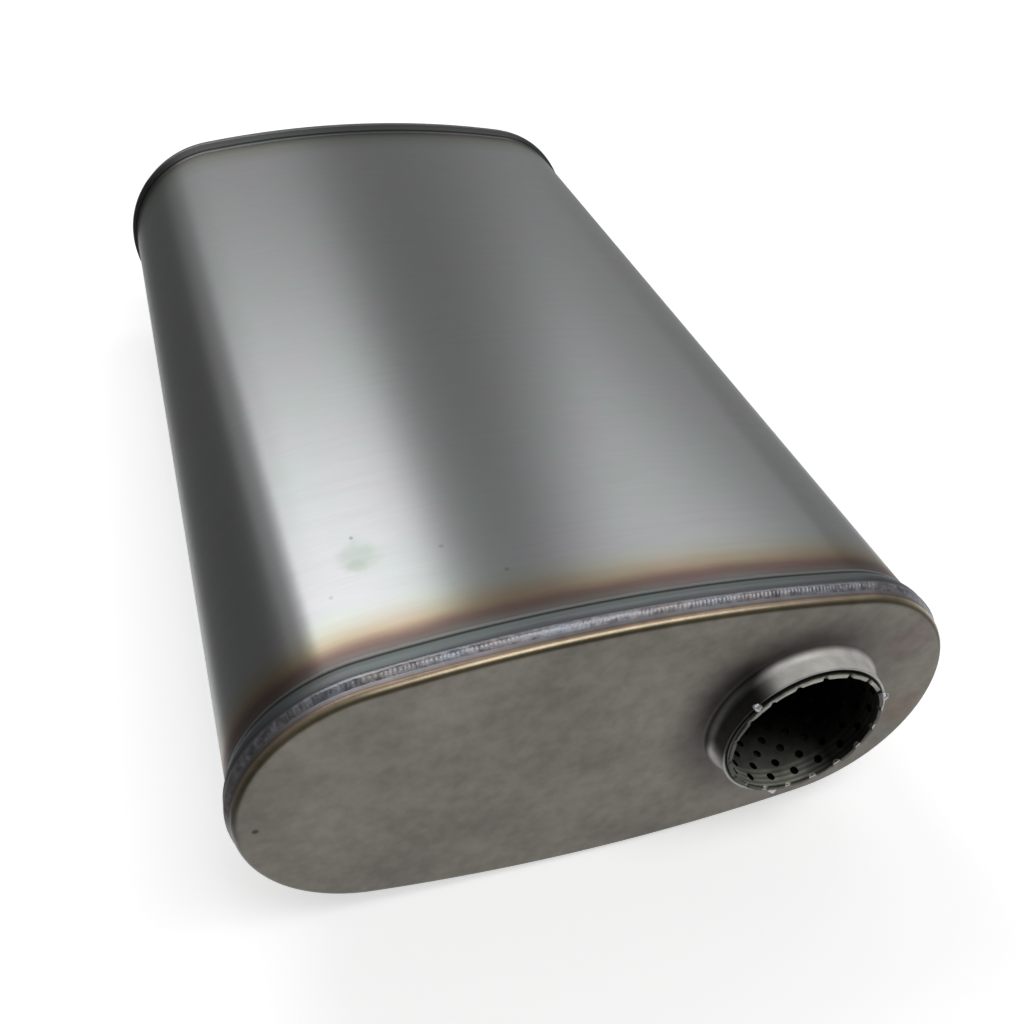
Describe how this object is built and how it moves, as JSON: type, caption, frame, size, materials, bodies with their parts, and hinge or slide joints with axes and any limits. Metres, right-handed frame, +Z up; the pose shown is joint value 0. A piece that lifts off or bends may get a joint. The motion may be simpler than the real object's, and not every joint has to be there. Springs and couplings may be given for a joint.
{
  "type": "muffler",
  "caption": "Oval straight-through exhaust muffler: rolled shell, welded end caps with drawn off-centre collars, perforated core tube, wool packing.",
  "frame": {"origin": "on the surface that the muffler lies on, under the middle of its bounding box", "axes": "+Y along the muffler from the end that the picture shows towards the hidden end, +X across its width towards the side that the collars are set to, +Z up"},
  "size_m": [0.232, 0.3944, 0.1064],
  "materials": {
    "shell_steel": "brushed round the girth, heat tinted straw to purple beside the welds",
    "cap_steel": "dull rolled sheet, mottled grey brown, polished on the drawn collar",
    "weld_metal": "rippled weld metal, heat tinted blue and purple",
    "core_steel": "dull perforated sheet with cut edges",
    "partition_steel": "dull pressed sheet",
    "steel_wool": "coarse steel wool",
    "packing_wool": "matted mineral fibre"
  },
  "bodies": {
    "root": {"shell": "shell_steel", "shell_seam_weld": "weld_metal", "front_end_cap": "cap_steel", "rear_end_cap": "cap_steel", "front_rim_weld": "weld_metal", "rear_rim_weld": "weld_metal", "perforated_core": "core_steel", "core_seam_weld": "weld_metal", "front_core_tacks": "weld_metal", "rear_core_tacks": "weld_metal", "front_partition": "partition_steel", "rear_partition": "partition_steel", "front_steel_wool": "steel_wool", "front_blanket": "packing_wool", "front_side_batt": "packing_wool", "middle_steel_wool": "steel_wool", "middle_blanket": "packing_wool", "middle_side_batt": "packing_wool", "rear_steel_wool": "steel_wool", "rear_blanket": "packing_wool", "rear_side_batt": "packing_wool"}
  },
  "joints": []
}
